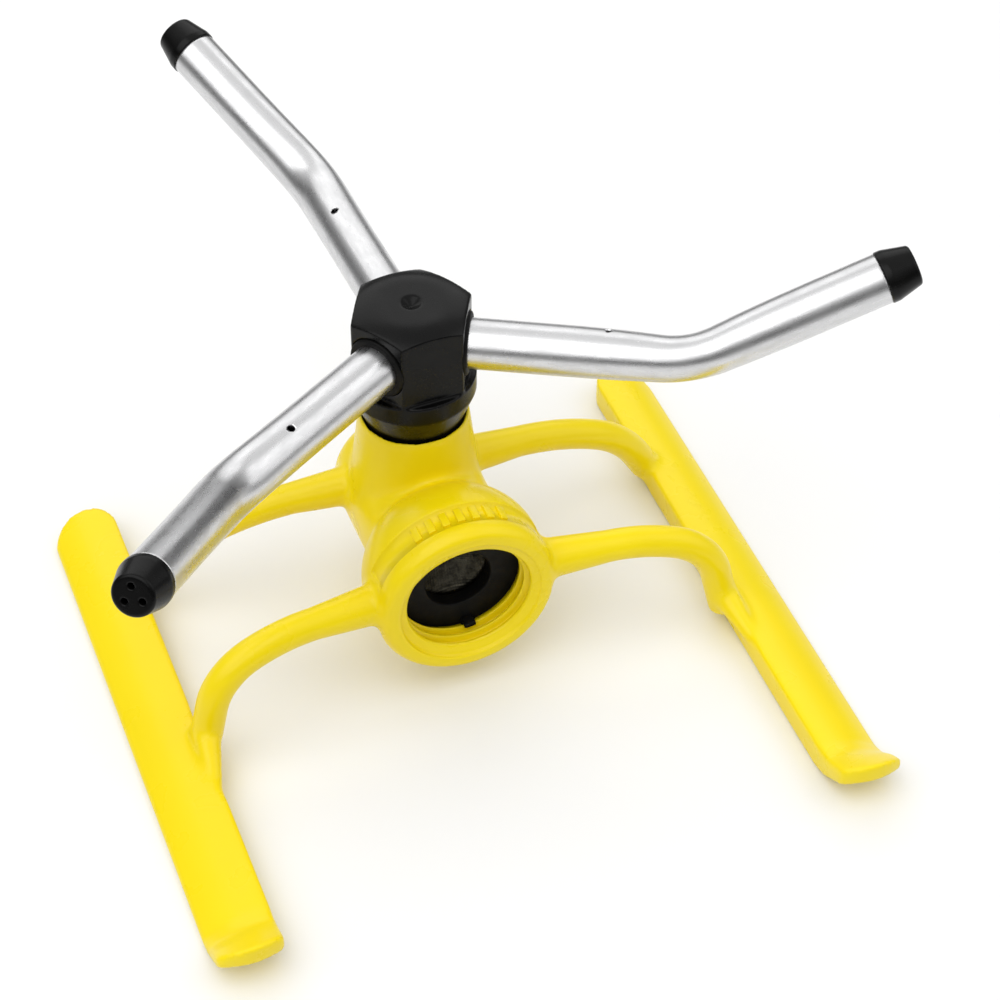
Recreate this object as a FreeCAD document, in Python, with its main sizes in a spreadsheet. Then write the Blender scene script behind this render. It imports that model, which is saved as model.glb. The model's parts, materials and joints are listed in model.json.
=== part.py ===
"""Three-arm rotating lawn sprinkler: a moulded base on two runners and a rotor that spins on it.

Millimetres, +Z up. The origin is on the ground, under the rotor's axis. The hose inlet faces -Y.
"""
import FreeCAD, Part
import math
import operator
import os
import Sketcher

ARMS = 3
NOZZLES = 3
SCREEN_RINGS = 3
LEGS = ("front", "rear")
TOE_STATIONS = ("toe_1", "toe_2", "toe_3")
# Depth of a pocket that goes right through
THROUGH = 8.0
X_AXIS, Y_AXIS, Z_AXIS = (FreeCAD.Vector(*row) for row in ((1, 0, 0), (0, 1, 0), (0, 0, 1)))

# Driving dimensions: alias, value in millimetres or degrees, meaning
SIZES = (
    ("runner_track", 62.1, "rotor axis to the middle of a runner"),
    ("runner_width", 13.2, "width of a runner"),
    ("runner_wall", 6.2, "height of a runner's inner edge"),
    ("runner_lip", 1.0, "height of a runner's outer edge"),
    ("runner_crown", 18.6, "radius across a runner's top"),
    ("runner_right_back", 43.1, "rear end of the right runner behind the rotor axis"),
    ("runner_left_back", 39.3, "rear end of the left runner behind the rotor axis"),
    ("runner_front", 76.0, "start of the toe in front of the rotor axis"),
    ("toe_1_front", 79.5, "first station along the toe"),
    ("toe_1_under", 1.0, "underside there"),
    ("toe_1_outer", 2.6, "outer edge there"),
    ("toe_1_inner", 6.4, "inner edge there"),
    ("toe_2_front", 83.0, "second station along the toe"),
    ("toe_2_under", 3.1, "underside there"),
    ("toe_2_outer", 6.0, "outer edge there"),
    ("toe_2_inner", 7.6, "inner edge there"),
    ("toe_3_front", 90.0, "last station, past the end of the toe"),
    ("toe_3_under", 7.6, "underside there"),
    ("toe_3_outer", 10.4, "outer edge there"),
    ("toe_3_inner", 10.8, "inner edge there"),
    ("toe_side", 85.4, "where a toe's sides end"),
    ("toe_corner", 1.6, "corner radius of the toe in plan"),
    ("toe_front", 88.4, "end of the toe in front of the rotor axis"),
    ("slot_depth", 2.4, "relief under a runner"),
    ("slot_width", 5.0, "width of that relief"),
    ("slot_inset", 2.0, "inner wall beside that relief"),
    ("barrel_height", 23.6, "inlet axis above the ground"),
    ("barrel_radius", 14.0, "outside of the inlet barrel"),
    ("barrel_back", 14.5, "closed end behind the rotor axis"),
    ("barrel_round", 5.0, "edge radius of the closed end"),
    ("cup_front", 32.3, "mouth in front of the rotor axis"),
    ("cup_radius", 18.4, "outside of the hose cup"),
    ("cup_shoulder", 14.7, "radius of the cup's rear shoulder"),
    ("shoulder_start", 22.5, "where the shoulder begins"),
    ("shoulder_end", 12.0, "where the shoulder meets the barrel"),
    ("rim_radius", 17.2, "outside of the mouth's rim"),
    ("rim_length", 1.8, "length of the rim's flare"),
    ("band_depth", 0.35, "recess of the band round the cup"),
    ("band_start", 28.6, "front of the band"),
    ("band_end", 23.4, "rear of the band"),
    ("mouth_radius", 15.5, "chamfer at the mouth"),
    ("mouth_length", 0.8, "length of that chamfer"),
    ("thread_root", 13.6, "radius of the thread's roots"),
    ("thread_bite", 0.3, "how far a thread ring runs into the wall"),
    ("thread_crest", 12.3, "radius of the thread's crests"),
    ("thread_pitch", 2.21, "pitch of a garden hose thread"),
    ("thread_turns", 3, "turns of thread"),
    ("thread_start", 31.5, "first turn in front of the rotor axis"),
    ("crest_width", 0.6, "flat on a crest"),
    ("thread_flank", 0.55, "length of a flank along the axis"),
    ("seat_front", 22.1, "seat of the hose washer"),
    ("port_radius", 9.2, "bore behind the washer"),
    ("port_end", 15.5, "end of that bore"),
    ("duct_radius", 6.5, "water way through the barrel"),
    ("duct_end", 6.5, "end of the water way behind the axis"),
    ("column_top", 47.6, "top of the column"),
    ("column_tip", 11.0, "column radius at the top"),
    ("column_root", 13.9, "column radius at the inlet axis"),
    ("socket_radius", 10.35, "recess that takes the foot of the hub"),
    ("socket_depth", 3.6, "depth of the recess"),
    ("bush_bore", 4.05, "bore of the bearing bush"),
    ("bush_radius", 6.0, "outside of the bearing bush"),
    ("bush_flange", 8.6, "flange radius of the bearing bush"),
    ("flange_thick", 1.0, "thickness of that flange"),
    ("bush_length", 10.0, "length of the bush below its flange"),
    ("leg_radius", 3.25, "half thickness of a leg"),
    ("leg_root_radius", 4.4, "half thickness at the root"),
    ("leg_flare", 16.0, "length of the thick root"),
    ("front_leg_x", 15.0, "front leg: start from the middle"),
    ("front_leg_y", -26.1, "front leg: start along Y"),
    ("front_leg_z", 24.1, "front leg: start above the ground"),
    ("front_leg_yaw", -8.5, "front leg: turn towards the rear"),
    ("front_leg_slope", 4.0, "front leg: rise at its start"),
    ("front_leg_run", 16.4, "front leg: straight start"),
    ("front_leg_bend_1", 33.0, "front leg: radius of the first bend"),
    ("front_leg_turn_1", 23.0, "front leg: angle of the first bend"),
    ("front_leg_bend_2", 14.0, "front leg: radius of the second bend"),
    ("front_leg_turn_2", 58.0, "front leg: angle of the second bend"),
    ("front_leg_end", 10.6, "front leg: straight end"),
    ("rear_leg_x", 9.0, "rear leg: start from the middle"),
    ("rear_leg_y", 4.4, "rear leg: start along Y"),
    ("rear_leg_z", 27.1, "rear leg: start above the ground"),
    ("rear_leg_yaw", 8.5, "rear leg: turn towards the rear"),
    ("rear_leg_slope", -7.0, "rear leg: rise at its start"),
    ("rear_leg_run", 14.0, "rear leg: straight start"),
    ("rear_leg_bend_1", 60.0, "rear leg: radius of the first bend"),
    ("rear_leg_turn_1", 21.0, "rear leg: angle of the first bend"),
    ("rear_leg_bend_2", 26.0, "rear leg: radius of the second bend"),
    ("rear_leg_turn_2", 32.0, "rear leg: angle of the second bend"),
    ("rear_leg_end", 6.5, "rear leg: straight end"),
    ("web_radius", 3.2, "front leg's web: radius at the leg"),
    ("web_tip", 1.4, "front leg's web: radius at its front end"),
    ("web_x", 54.6, "front leg's web: start from the middle"),
    ("web_y", -31.0, "front leg's web: start along Y"),
    ("web_z", 8.0, "front leg's web: start above the ground"),
    ("web_length", 14.0, "front leg's web: length"),
    ("web_fall", 15.0, "front leg's web: fall towards the front"),
    ("web_splay", 8.0, "front leg's web: turn outwards"),
    ("washer_radius", 12.9, "outside of the hose washer"),
    ("washer_hole", 6.8, "hole of the hose washer"),
    ("washer_thick", 3.2, "thickness of the hose washer"),
    ("washer_ear", 1.4, "half width of a retaining ear"),
    ("ear_radius", 13.5, "reach of a retaining ear"),
    ("screen_radius", 9.1, "rim radius of the strainer"),
    ("screen_thick", 0.7, "thickness of the strainer"),
    ("screen_sag", 2.6, "height of the strainer's dome"),
    ("screen_rim", 1.2, "width of the strainer's flat rim"),
    ("screen_gap", 0.9, "gap between the hose washer's seat and the strainer"),
    ("screen_dome", 16.0, "radius of the strainer's dome"),
    ("screen_hole", 0.55, "hole radius in the strainer"),
    ("screen_pitch", 1.9, "spacing of the rings of holes"),
    ("arm_height", 65.5, "arm axis above the ground"),
    ("arm_azimuth", -27.4, "first arm, from +X towards +Y"),
    ("tube_radius", 5.0, "outside of an arm tube"),
    ("tube_bore", 4.2, "inside of an arm tube"),
    ("tube_root", 7.5, "inner end of a tube from the rotor axis"),
    ("elbow_reach", 53.9, "rotor axis to the corner of the bend"),
    ("elbow_angle", 28.0, "bend of a tube"),
    ("elbow_roll", 45.0, "lean of the bend from upright"),
    ("elbow_radius", 26.0, "centreline radius of the bend"),
    ("tip_length", 39.6, "corner of the bend to the end of the tube"),
    ("jet_reach", 37.7, "side jet from the rotor axis"),
    ("jet_angle", 18.0, "side jet from upright"),
    ("jet_radius", 0.8, "radius of a side jet"),
    ("cap_lip", 5.2, "radius of a nozzle cap at the tube"),
    ("cap_nose", 4.1, "radius of a nozzle cap at its face"),
    ("cap_length", 6.6, "length of a nozzle cap beyond the tube"),
    ("cap_band", 1.4, "straight part of a nozzle cap"),
    ("cap_round", 0.7, "edge radius of a nozzle cap"),
    ("cap_spigot", 7.0, "length of the cap inside the tube"),
    ("cap_cavity", 3.2, "bore of the cap"),
    ("cap_face", 1.6, "thickness of the cap's face"),
    ("nozzle_radius", 0.65, "radius of a nozzle hole"),
    ("nozzle_circle", 1.9, "circle of the nozzle holes"),
    ("seal_radius", 6.3, "outside of an arm seal"),
    ("seal_length", 2.0, "length of an arm seal"),
    ("seal_inset", 1.5, "depth of the seal in the hub"),
    ("hub_radius", 12.5, "hub over the corners"),
    ("hub_flats", 10.85, "hub axis to a flat"),
    ("hub_top", 74.5, "top of the hub"),
    ("hub_crown", 6.0, "radius of the flat top"),
    ("crown_round", 12.3, "radius that rounds the top"),
    ("hub_corner", 72.62, "height of the rounded edge"),
    ("flats_bottom", 58.0, "lower end of the flats"),
    ("skirt_bottom", 54.0, "lower end of the straight skirt"),
    ("skirt_tip", 10.15, "radius where the skirt meets the column"),
    ("skirt_end", 47.9, "height where the skirt meets the column"),
    ("foot_radius", 10.0, "foot of the hub inside the column"),
    ("foot_bottom", 45.55, "underside of the foot"),
    ("hub_chamber", 5.2, "radius of the chamber that feeds the arms"),
    ("chamber_top", 69.5, "roof of the chamber"),
    ("chamber_floor", 60.2, "floor of the chamber"),
    ("dimple_radius", 2.2, "radius of the dimple in the top"),
    ("dimple_depth", 1.3, "depth of the dimple"),
    ("spindle_radius", 4.0, "outside of the spindle"),
    ("spindle_bore", 2.8, "bore of the spindle"),
    ("spindle_bottom", 31.2, "lower end of the spindle"),
    ("clip_groove", 3.4, "radius at the bottom of the clip groove"),
    ("clip_height", 32.2, "underside of the clip groove"),
    ("clip_thick", 0.7, "thickness of the retaining clip"),
    ("clip_radius", 5.4, "outside of the retaining clip"),
    ("clip_gap", 2.2, "half width of the clip's opening"),
    ("shim_thick", 0.4, "thickness of a running washer"),
    ("shim_radius", 7.8, "outside of the upper running washer"),
    ("shim_inner", 4.1, "bore of a running washer"),
    ("keeper_radius", 5.6, "outside of the lower running washer"),
    ("seal_round", 0.5, "edge round of an arm seal"),
    ("slack", 0.05, "running gap between stacked rotor parts"),
)

doc = FreeCAD.newDocument("sprinkler")
sheet = doc.addObject("Spreadsheet::Sheet", "Size")
OPERATIONS = {"+": operator.add, "-": operator.sub, "*": operator.mul, "/": operator.truediv}


class Dim:
    """A number together with the spreadsheet expression that gives it."""

    def __init__(self, value, text):
        self.value = float(value)
        self.text = text

    def __add__(self, other):
        return combined(self, "+", other)

    def __radd__(self, other):
        return combined(other, "+", self)

    def __sub__(self, other):
        return combined(self, "-", other)

    def __rsub__(self, other):
        return combined(other, "-", self)

    def __mul__(self, other):
        return combined(self, "*", other)

    def __rmul__(self, other):
        return combined(other, "*", self)

    def __truediv__(self, other):
        return combined(self, "/", other)

    def __neg__(self):
        return combined(0, "-", self)


def dim(number):
    return number if isinstance(number, Dim) else Dim(number, repr(float(number)))


def combined(left, sign, right):
    left, right = dim(left), dim(right)
    return Dim(OPERATIONS[sign](left.value, right.value), f"({left.text} {sign} {right.text})")


def sine(angle):
    return Dim(math.sin(math.radians(angle.value)), f"sin({angle.text})")


def cosine(angle):
    return Dim(math.cos(math.radians(angle.value)), f"cos({angle.text})")


def tangent(angle):
    return Dim(math.tan(math.radians(angle.value)), f"tan({angle.text})")


class Sizes:
    """The sheet's cells, read by alias."""

    def __init__(self, rows):
        for row, (alias, value, meaning) in enumerate(rows, start=1):
            sheet.set(f"A{row}", meaning)
            sheet.set(f"B{row}", str(value))
            sheet.setAlias(f"B{row}", alias)
            setattr(self, alias, Dim(value, f"Size.{alias}"))


size = Sizes(SIZES)
doc.recompute()


def bind(feature, **dims):
    """Tie properties of a feature to the sheet."""
    for name, value in dims.items():
        setattr(feature, name, dim(value).value)
        feature.setExpression(name, dim(value).text)


def new_body(name):
    body = doc.addObject("PartDesign::Body", name)
    body.Label = name
    return body


def datum(body, role):
    return next(item for item in body.Origin.OriginFeatures if item.Role == role)


def new_sketch(body, name, plane, shift=0, turn=None):
    """Empty sketch on one of the body's own planes, moved along the plane's normal or turned."""
    sketch = body.newObject("Sketcher::SketchObject", f"{body.Name}_{name}")
    sketch.AttachmentSupport = [(datum(body, plane), "")]
    sketch.MapMode = "FlatFace"
    rotation = turn or FreeCAD.Rotation()
    sketch.AttachmentOffset = FreeCAD.Placement(rotation.multVec(Z_AXIS * dim(shift).value), rotation)
    if turn is None and dim(shift).value:
        sketch.setExpression(".AttachmentOffset.Base.z", dim(shift).text)
    return sketch


def tie(sketch, kind, where, value):
    """Add one driving constraint and bind it to the sheet."""
    index = sketch.addConstraint(Sketcher.Constraint(kind, *where, dim(value).value))
    sketch.setExpression(f"Constraints[{index}]", dim(value).text)


def arc_between(start, end, radius):
    """Arc of signed radius from start to end: positive keeps its centre on the left."""
    chord = end - start
    left = FreeCAD.Vector(-chord.y, chord.x, 0).normalize()
    offset = math.copysign(math.sqrt(max(radius ** 2 - chord.Length ** 2 / 4, 0)), radius)
    centre = (start + end) / 2 + left * offset
    ends = (start, end) if radius > 0 else (end, start)
    angles = [math.atan2(point.y - centre.y, point.x - centre.x) for point in ends]
    return Part.ArcOfCircle(Part.Circle(centre, Z_AXIS, abs(radius)), *angles)


def outline(sketch, points, closed=True):
    """Lines and arcs through (x, y) or (x, y, radius) points, each coordinate bound to the sheet."""
    corners = [FreeCAD.Vector(dim(point[0]).value, dim(point[1]).value, 0) for point in points]
    count = len(points) if closed else len(points) - 1
    joints = []
    for index in range(count):
        start, end = corners[index], corners[(index + 1) % len(points)]
        bend = dim(points[index][2]) if len(points[index]) == 3 else None
        if bend is None:
            edge = sketch.addGeometry(Part.LineSegment(start, end), False)
        else:
            edge = sketch.addGeometry(arc_between(start, end, bend.value), False)
        forward = bend is None or bend.value > 0
        joints.append((edge, 1, 2) if forward else (edge, 2, 1))
        if bend is not None:
            tie(sketch, "Radius", (edge,), bend if bend.value > 0 else -bend)
    for (edge, first, _), point in zip(joints, points):
        tie(sketch, "DistanceX", (-1, 1, edge, first), point[0])
        tie(sketch, "DistanceY", (-1, 1, edge, first), point[1])
    if not closed:
        tie(sketch, "DistanceX", (-1, 1, joints[-1][0], joints[-1][2]), points[-1][0])
        tie(sketch, "DistanceY", (-1, 1, joints[-1][0], joints[-1][2]), points[-1][1])
    for index in range(count if closed else count - 1):
        edge, _, last = joints[index]
        after, first, _ = joints[(index + 1) % count]
        sketch.addConstraint(Sketcher.Constraint("Coincident", edge, last, after, first))
    return sketch


def circles(sketch, radii, across=0, up=0):
    """Concentric circles round (across, up)."""
    centre = FreeCAD.Vector(dim(across).value, dim(up).value, 0)
    for radius in radii:
        edge = sketch.addGeometry(Part.Circle(centre, Z_AXIS, dim(radius).value), False)
        tie(sketch, "Radius", (edge,), radius)
        tie(sketch, "DistanceX", (-1, 1, edge, 3), across)
        tie(sketch, "DistanceY", (-1, 1, edge, 3), up)
    return sketch


def feature(body, kind, name, profile, **settings):
    """Sketch-based feature; sizes given as Dim are bound, anything else is set."""
    item = body.newObject(f"PartDesign::{kind}", f"{body.Name}_{name}")
    item.Profile = profile
    for key, value in settings.items():
        if isinstance(value, Dim):
            bind(item, **{key: value})
        else:
            setattr(item, key, value)
    return item


def turned(body, name, sketch, axis, kind="Revolution"):
    """Solid or groove of a sketch turned about its own axis."""
    return feature(body, kind, name, sketch, ReferenceAxis=(sketch, [axis]), Angle=360.0)


def pocket(body, name, sketch, depth, flipped=False):
    """Pocket that must remove material."""
    doc.recompute()
    before = body.Shape.Volume
    cut = feature(body, "Pocket", name, sketch, Length=dim(depth), Reversed=flipped)
    doc.recompute()
    if not body.Shape.Volume < before - 1e-6:
        raise ValueError(f"{body.Name} {name} removes nothing")
    return cut


def ring_of(body, name, original, count):
    """Polar pattern of a feature about the body's Z axis."""
    pattern = body.newObject("PartDesign::PolarPattern", f"{body.Name}_{name}")
    pattern.Originals = [original]
    pattern.Axis = (datum(body, "Z_Axis"), [""])
    pattern.Angle = 360.0
    pattern.Occurrences = count
    body.Tip = pattern
    return pattern


def swept(body, name, profile, path, kind="AdditivePipe"):
    edges = [f"Edge{index + 1}" for index in range(path.GeometryCount)]
    return feature(body, kind, name, profile, Spine=(path, edges))


def turned_ring(name, inner, outer, bottom, top):
    """Plain ring about Z between two heights."""
    body = new_body(name)
    sketch = outline(new_sketch(body, "section", "XZ_Plane"),
                     [(inner, bottom), (outer, bottom), (outer, top), (inner, top)])
    turned(body, "ring", sketch, "V_Axis")
    return body


def at(height, yaw=0.0):
    return FreeCAD.Placement(Z_AXIS * dim(height).value, FreeCAD.Rotation(Z_AXIS, yaw))


def inlet_body():
    """Hose cup, barrel and column in one moulding, bored for the water way and the bearing."""
    body = new_body("inlet_body")
    skin = outline(new_sketch(body, "skin", "XY_Plane"), [
        (0, -size.cup_front),
        (size.rim_radius, -size.cup_front),
        (size.cup_radius, -(size.cup_front - size.rim_length)),
        (size.cup_radius, -size.band_start),
        (size.cup_radius - size.band_depth, -size.band_start),
        (size.cup_radius - size.band_depth, -size.band_end),
        (size.cup_radius, -size.band_end),
        (size.cup_radius, -size.shoulder_start, size.cup_shoulder),
        (size.barrel_radius, -size.shoulder_end),
        (size.barrel_radius, size.barrel_back - size.barrel_round, size.barrel_round),
        (size.barrel_radius - size.barrel_round, size.barrel_back),
        (0, size.barrel_back)])
    turned(body, "barrel", skin, "V_Axis")
    rise = size.column_top - size.barrel_height
    shaft = outline(new_sketch(body, "shaft", "XZ_Plane"),
                    [(0, 0), (size.column_root, 0), (size.column_tip, rise), (0, rise)])
    turned(body, "column", shaft, "V_Axis")
    bore = outline(new_sketch(body, "bore", "XY_Plane"), [
        (0, -size.cup_front - 1),
        (size.mouth_radius, -size.cup_front - 1),
        (size.mouth_radius, -size.cup_front),
        (size.thread_root, -size.cup_front + size.mouth_length),
        (size.thread_root, -size.seat_front),
        (size.port_radius, -size.seat_front),
        (size.port_radius, -size.port_end),
        (size.duct_radius, -size.port_end),
        (size.duct_radius, size.duct_end),
        (0, size.duct_end)])
    turned(body, "water_way", bore, "V_Axis", "Groove")
    recess = rise - size.socket_depth
    bearing = outline(new_sketch(body, "bearing", "XZ_Plane"), [
        (0, 0), (size.bush_radius, 0), (size.bush_radius, recess),
        (size.socket_radius, recess), (size.socket_radius, rise + 1), (0, rise + 1)])
    turned(body, "bearing_bore", bearing, "V_Axis", "Groove")
    root = size.thread_root + size.thread_bite
    first = -size.thread_start
    ridge = outline(new_sketch(body, "ridge", "XY_Plane"), [
        (root, first),
        (size.thread_root, first),
        (size.thread_crest, first + size.thread_flank),
        (size.thread_crest, first + size.thread_flank + size.crest_width),
        (size.thread_root, first + size.thread_flank * 2 + size.crest_width),
        (root, first + size.thread_flank * 2 + size.crest_width)])
    turn = turned(body, "thread_turn", ridge, "V_Axis")
    thread = body.newObject("PartDesign::LinearPattern", "inlet_body_thread")
    thread.Originals = [turn]
    thread.Direction = (datum(body, "Y_Axis"), [""])
    bind(thread, Length=size.thread_pitch * (size.thread_turns - 1))
    thread.Occurrences = int(size.thread_turns.value)
    body.Tip = thread
    body.Placement = at(size.barrel_height)
    return body


def section_at(body, name, front, corners):
    """Sketch across a runner, at a distance in front of the body's origin."""
    return outline(new_sketch(body, name, "XZ_Plane", shift=front), corners)


def runner_section(side, under, outer, inner):
    """Corners across a runner: flat underside, low outer edge, crowned top, high inner edge."""
    half = size.runner_width / 2
    return [(-side * half, under), (side * half, under),
            (side * half, outer, side * size.runner_crown), (-side * half, inner)]


def runner(name, side, back):
    """Ski-shaped runner without its relief: crowned outwards, round at the rear, turned up in front."""
    body = new_body(f"{name}_bar")
    start = section_at(body, "start", size.runner_front,
                       runner_section(side, 0, size.runner_lip, size.runner_wall))
    feature(body, "Pad", "bar", start, Length=size.runner_front + back, Reversed=True)
    toe = body.newObject("PartDesign::AdditiveLoft", f"{name}_toe")
    toe.Profile = section_at(body, "toe_start", size.runner_front,
                             runner_section(side, 0, size.runner_lip, size.runner_wall))
    toe.Sections = [
        section_at(body, station, getattr(size, f"{station}_front"), runner_section(
            side, *(getattr(size, f"{station}_{edge}") for edge in ("under", "outer", "inner"))))
        for station in TOE_STATIONS]
    toe.Ruled = True
    body.Placement.Base = X_AXIS * (side * size.runner_track.value)
    plan = new_body(f"{name}_plan")
    half, corner = size.runner_width / 2, size.toe_corner
    bulge = size.toe_front - size.toe_side - corner
    reach = half - corner
    front_radius = (reach * reach + bulge * bulge) / (bulge * 2)
    shape = outline(new_sketch(plan, "outline", "XY_Plane"), [
        (half, back - half, half),
        (0, back, half),
        (-half, back - half),
        (-half, -size.toe_side, corner),
        (-reach, -size.toe_side - corner, front_radius),
        (reach, -size.toe_side - corner, corner),
        (half, -size.toe_side)])
    feature(plan, "Pad", "prism", shape, Length=size.runner_wall * 4)
    plan.Placement = body.Placement
    common = doc.addObject("Part::Common", f"{name}_solid")
    common.Base = body
    common.Tool = plan
    return common


def relieved(name, side, back, whole):
    """The runner with the relief along its underside."""
    body = new_body(f"{name}_relief")
    inner = -side * (size.runner_width / 2 - size.slot_inset)
    slot = outline(new_sketch(body, "slot", "XY_Plane"), [
        (inner, back - size.runner_width),
        (inner + side * size.slot_width, back - size.runner_width),
        (inner + side * size.slot_width, -size.runner_front),
        (inner, -size.runner_front)])
    feature(body, "Pad", "slot_pad", slot, Length=size.slot_depth * 2, Midplane=True)
    body.Placement = whole.Base.Placement
    cut = doc.addObject("Part::Cut", name)
    cut.Label = name
    cut.Base = whole
    cut.Tool = body
    return cut


def web(name, side):
    """Tapered web that runs from the foot of a front leg forwards along its runner."""
    cone = doc.addObject("Part::Cone", f"{name}_web")
    bind(cone, Radius1=size.web_radius, Radius2=size.web_tip, Height=size.web_length)
    aim = FreeCAD.Rotation(Z_AXIS, side * size.web_splay.value)
    fall = FreeCAD.Rotation(X_AXIS, 90 + size.web_fall.value)
    start = FreeCAD.Vector(side * size.web_x.value, size.web_y.value, size.web_z.value)
    cone.Placement = FreeCAD.Placement(start, aim * fall)
    return cone


def leg(which, side, whole_runner, housing):
    """Round bar that leaves the housing sideways and bends down onto a runner."""
    name = f"leg_{which}_{'left' if side < 0 else 'right'}"

    def get(key):
        return getattr(size, f"{which}_leg_{key}")

    body = new_body(f"{name}_bar")
    ring = circles(new_sketch(body, "ring", "YZ_Plane"), [size.leg_radius])
    one, both = get("turn_1"), get("turn_1") + get("turn_2")
    first_x = get("run") + get("bend_1") * sine(one)
    first_z = -get("bend_1") * (1 - cosine(one))
    second_x = first_x + get("bend_2") * (sine(both) - sine(one))
    second_z = first_z - get("bend_2") * (cosine(one) - cosine(both))
    path = outline(new_sketch(body, "path", "XZ_Plane"), [
        (0, 0),
        (get("run"), 0, -get("bend_1")),
        (first_x, first_z, -get("bend_2")),
        (second_x, second_z),
        (second_x + get("end") * cosine(both), second_z - get("end") * sine(both))], closed=False)
    swept(body, "bar", ring, path)
    flare = outline(new_sketch(body, "flare", "XZ_Plane"), [
        (0, 0), (size.leg_flare, 0), (size.leg_flare, size.leg_radius), (0, size.leg_root_radius)])
    turned(body, "root", flare, "H_Axis")
    yaw = get("yaw").value if side > 0 else 180 - get("yaw").value
    body.Placement = FreeCAD.Placement(
        FreeCAD.Vector(side * get("x").value, get("y").value, get("z").value),
        FreeCAD.Rotation(Z_AXIS, yaw) * FreeCAD.Rotation(Y_AXIS, -get("slope").value))
    bar = body
    if which == "front":
        bar = doc.addObject("Part::Fuse", f"{name}_webbed")
        bar.Base = body
        bar.Tool = web(name, side)
    trimmed = doc.addObject("Part::Cut", f"{name}_trimmed")
    trimmed.Base = bar
    trimmed.Tool = housing
    cut = doc.addObject("Part::Cut", name)
    cut.Label = name
    cut.Base = trimmed
    cut.Tool = whole_runner
    return cut


def hose_washer():
    """Flat rubber washer with three ears that catch behind the thread."""
    body = new_body("hose_washer")
    ring = circles(new_sketch(body, "ring", "XY_Plane"), [size.washer_radius, size.washer_hole])
    feature(body, "Pad", "disc", ring, Length=size.washer_thick)
    ear = outline(new_sketch(body, "ear", "XY_Plane"), [
        (-size.washer_ear, size.washer_radius - 1), (size.washer_ear, size.washer_radius - 1),
        (size.washer_ear, size.ear_radius), (-size.washer_ear, size.ear_radius)])
    tab = feature(body, "Pad", "ear_pad", ear, Length=size.washer_thick * 0.5)
    ring_of(body, "ears", tab, 3)
    body.Placement = FreeCAD.Placement(
        FreeCAD.Vector(0, -size.seat_front.value, size.barrel_height.value), FreeCAD.Rotation(X_AXIS, 90))
    return body


def inlet_screen():
    """Domed strainer with rings of holes, behind the hose washer."""
    body = new_body("inlet_screen")
    rim, thick = size.screen_radius, size.screen_thick
    dome = outline(new_sketch(body, "dome", "XZ_Plane"), [
        (0, 0),
        (rim, 0),
        (rim, thick),
        (rim - size.screen_rim, thick, size.screen_dome),
        (0, thick + size.screen_sag)])
    turned(body, "cap", dome, "V_Axis")
    holes = circles(new_sketch(body, "centre_hole", "XY_Plane"), [size.screen_hole])
    pocket(body, "middle", holes, THROUGH, flipped=True)
    for ring in range(1, SCREEN_RINGS + 1):
        hole = circles(new_sketch(body, f"hole_{ring}", "XY_Plane"), [size.screen_hole],
                       across=size.screen_pitch * ring)
        drilled = pocket(body, f"ring_{ring}", hole, THROUGH, flipped=True)
        ring_of(body, f"pattern_{ring}", drilled, 6 * ring)
    middle = FreeCAD.Vector(0, size.screen_gap.value - size.seat_front.value, size.barrel_height.value)
    body.Placement = FreeCAD.Placement(middle, FreeCAD.Rotation(X_AXIS, -90))
    return body


def bearing_bush():
    """Flanged plain bearing that the spindle turns in."""
    body = new_body("bearing_bush")
    top = size.column_top - size.socket_depth
    sketch = outline(new_sketch(body, "section", "XZ_Plane"), [
        (size.bush_bore, top - size.bush_length),
        (size.bush_radius, top - size.bush_length),
        (size.bush_radius, top),
        (size.bush_flange, top),
        (size.bush_flange, top + size.flange_thick),
        (size.bush_bore, top + size.flange_thick)])
    turned(body, "bush", sketch, "V_Axis")
    return body


def above_arms(height):
    """Height measured from the arms' axis."""
    return height - size.arm_height


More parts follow.
